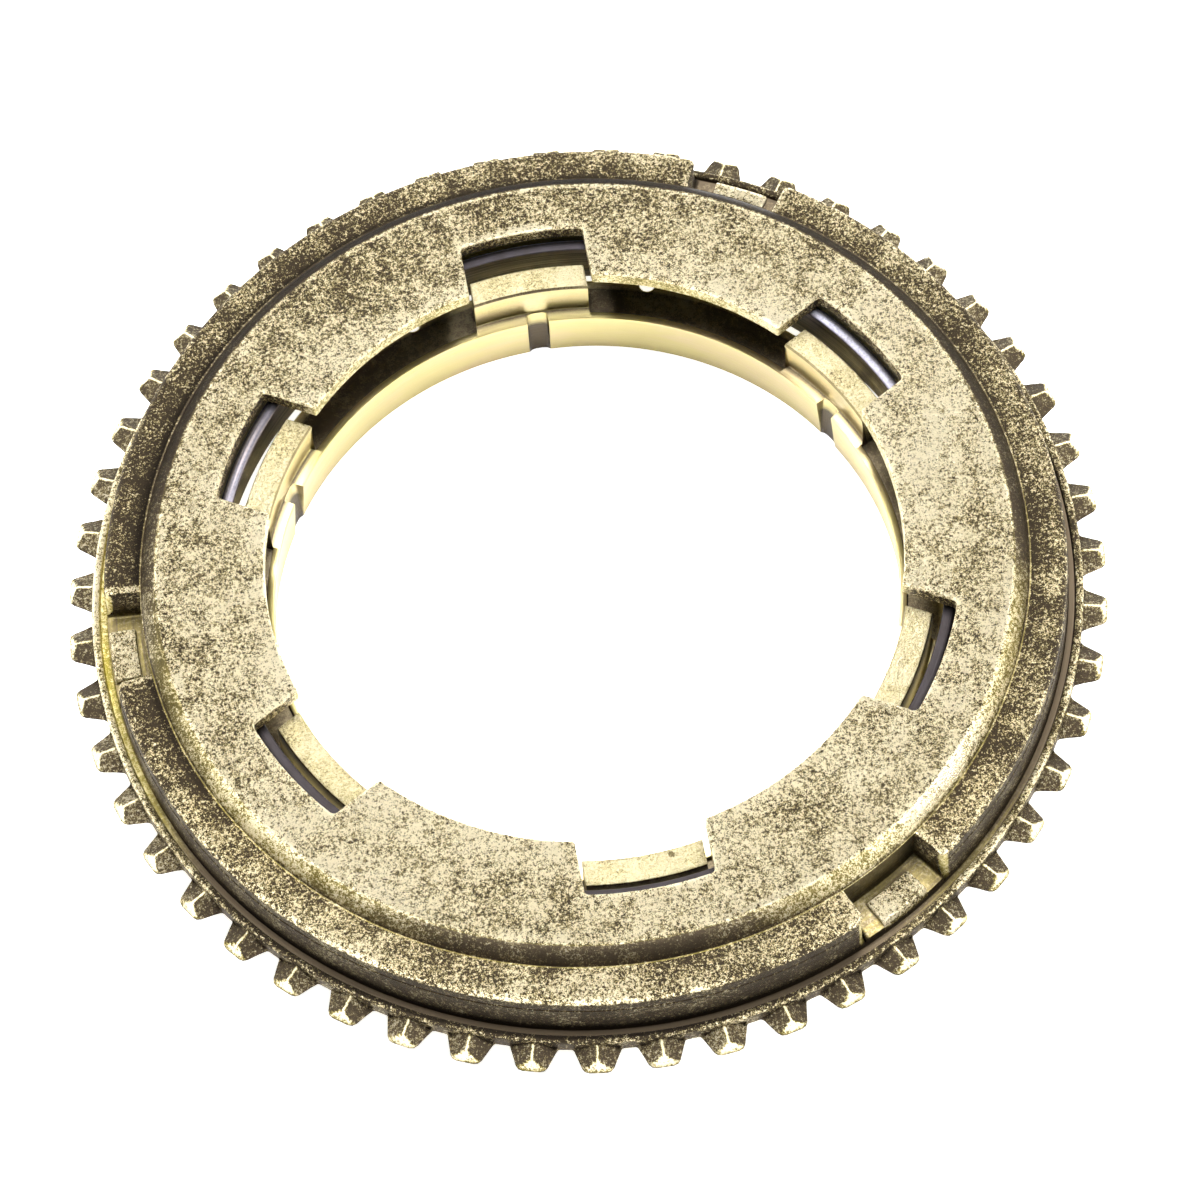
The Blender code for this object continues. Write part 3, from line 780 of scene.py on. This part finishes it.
def steel_material():
    """Blue-grey steel with turning marks; the cones are darker with brown streaks, painted shade darkens the
    top face, and a painted highlight lightens its edge at the back and parts of the face.
    """
    n = Nodes("dark_cone_steel")
    marks = n.noise(1.0, 3.0, 0.7, n.turned(4.0, 9.0))
    stain_and_shade = n.noise(0.4, 3.0, 0.6)
    color = n.mix(n.spread(stain_and_shade, 0.35, 0.7), (0.055, 0.052, 0.066), (0.03, 0.027, 0.032))
    # Painted shade: near black where the grime and painted shade mask is high, brown streaks where it is lower.
    grime = n.mask("grime")
    streak = n.spread(n.noise(1.0, 3.0, 0.7, n.turned(2.0, 2.6)), 0.4, 0.65)
    streak = n.math("MULTIPLY", streak, n.spread(grime, 0.75, 0.5))
    soot_and_shade = n.mix(streak, (0.012, 0.010, 0.009), (0.34, 0.28, 0.25))
    color = n.mix(n.math("MULTIPLY", grime, 0.92), color, soot_and_shade)
    # Painted highlight, pale and speckled, where the polish mask is high.
    bright = n.math("MULTIPLY", n.mask("polish"), n.spread(n.noise(4.0, 2.0, 0.6), 0.38, 0.6, 0.45, 1.0))
    color = n.mix(bright, color, (0.22, 0.22, 0.26))
    rough = n.spread(marks, 0.3, 0.7, 0.38, 0.55)
    return n.finish(color, rough, marks, 0.02)


def camera_ray_level(tree, seen, reflected):
    """A brightness that is near white where it is seen directly, and lower as a source of light."""
    path = tree.nodes.new("ShaderNodeLightPath")
    level = tree.nodes.new("ShaderNodeMapRange")
    tree.links.new(path.outputs["Is Camera Ray"], level.inputs["Value"])
    level.inputs["To Min"].default_value = reflected
    level.inputs["To Max"].default_value = seen
    return level.outputs["Result"]


def floor_material():
    material = bpy.data.materials.new("white_table")
    material.use_nodes = True
    shader = material.node_tree.nodes["Principled BSDF"]
    shader.inputs["Base Color"].default_value = (0.9, 0.9, 0.9, 1.0)
    shader.inputs["Roughness"].default_value = 0.9
    shader.inputs["Emission Color"].default_value = (1.0, 1.0, 1.0, 1.0)
    level = camera_ray_level(material.node_tree, 0.85, 0.22)
    material.node_tree.links.new(level, shader.inputs["Emission Strength"])
    return material


def add_floor(half):
    """A square table top, half its side in metres."""
    mesh = bpy.data.meshes.new("table_top")
    corners = [(-half, -half, 0.0), (half, -half, 0.0), (half, half, 0.0), (-half, half, 0.0)]
    mesh.from_pydata(corners, [], [(0, 1, 2, 3)])
    mesh.materials.append(floor_material())
    table = bpy.data.objects.new("table_top", mesh)
    bpy.context.scene.collection.objects.link(table)


def add_light(name, azimuth, elevation, distance, size, power):
    """A square softbox aimed at the object, in metres and watts."""
    light = bpy.data.lights.new(name, "AREA")
    light.size = size
    light.energy = power
    lamp = bpy.data.objects.new(name, light)
    bpy.context.scene.collection.objects.link(lamp)
    turn, rise = math.radians(azimuth), math.radians(elevation)
    away = Vector((math.cos(turn) * math.cos(rise), math.sin(turn) * math.cos(rise), math.sin(rise)))
    lamp.matrix_world = Matrix.Translation(away * distance) @ away.to_track_quat("Z", "Y").to_matrix().to_4x4()


def add_world(seen, reflected):
    world = bpy.data.worlds.new("studio")
    world.use_nodes = True
    background = world.node_tree.nodes["Background"]
    background.inputs["Color"].default_value = (1.0, 1.0, 1.0, 1.0)
    world.node_tree.links.new(camera_ray_level(world.node_tree, seen, reflected), background.inputs["Strength"])
    bpy.context.scene.world = world


def add_camera(place, target, roll, lens):
    """A camera at a place, aimed at a target, both in metres; the roll is in degrees and the lens in mm."""
    data = bpy.data.cameras.new("camera")
    data.lens = lens
    data.sensor_width = 36.0
    camera = bpy.data.objects.new("camera", data)
    bpy.context.scene.collection.objects.link(camera)
    place, target = Vector(place), Vector(target)
    aim = (target - place).to_track_quat("-Z", "Y").to_matrix().to_4x4()
    camera.matrix_world = Matrix.Translation(place) @ aim @ Matrix.Rotation(math.radians(roll), 4, "Z")
    bpy.context.scene.camera = camera


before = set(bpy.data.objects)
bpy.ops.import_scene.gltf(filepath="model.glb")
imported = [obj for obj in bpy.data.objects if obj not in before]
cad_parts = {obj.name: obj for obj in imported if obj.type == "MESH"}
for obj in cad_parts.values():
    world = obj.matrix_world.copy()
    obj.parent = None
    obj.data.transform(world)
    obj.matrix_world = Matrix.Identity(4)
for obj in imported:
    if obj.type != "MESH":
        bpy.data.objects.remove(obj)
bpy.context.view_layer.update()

cast_brass = brass_material(
    "cast_brass",
    pale=(1.0, 0.90, 0.65),
    straw=(0.54, 0.44, 0.21),
    dark=(0.06, 0.046, 0.03),
    turned_colour=(0.42, 0.35, 0.03),
    stain_colour=(0.35, 0.30, 0.08),
    smooth=0.3,
    fleck=1.25,
)
turned_brass = brass_material(
    "turned_brass",
    pale=(0.76, 0.68, 0.46),
    straw=(0.56, 0.48, 0.27),
    dark=(0.08, 0.062, 0.04),
    turned_colour=(0.56, 0.48, 0.21),
    stain_colour=(0.57, 0.46, 0.25),
    smooth=0.34,
    fleck=0.55,
    pit=((3.0, -36.15, 13.05), 0.42),
)
outer_ring_skin(cast_brass)
steel_ring_skin(steel_material())
inner_ring_skin(turned_brass)

add_floor(4.0)
add_world(seen=0.9, reflected=0.1)
add_light("softbox_top", azimuth=84, elevation=77, distance=0.9, size=0.6, power=25.5)
add_light("softbox_right", azimuth=-20, elevation=30, distance=0.9, size=0.16, power=5)
add_light("softbox_left", azimuth=180, elevation=18, distance=0.8, size=0.35, power=2)
bpy.context.scene.view_settings.view_transform = "Standard"
add_camera((-0.02352, -0.23253, 0.45657), (0.00104, -0.00316, 0.01), roll=-4.524, lens=136.89)
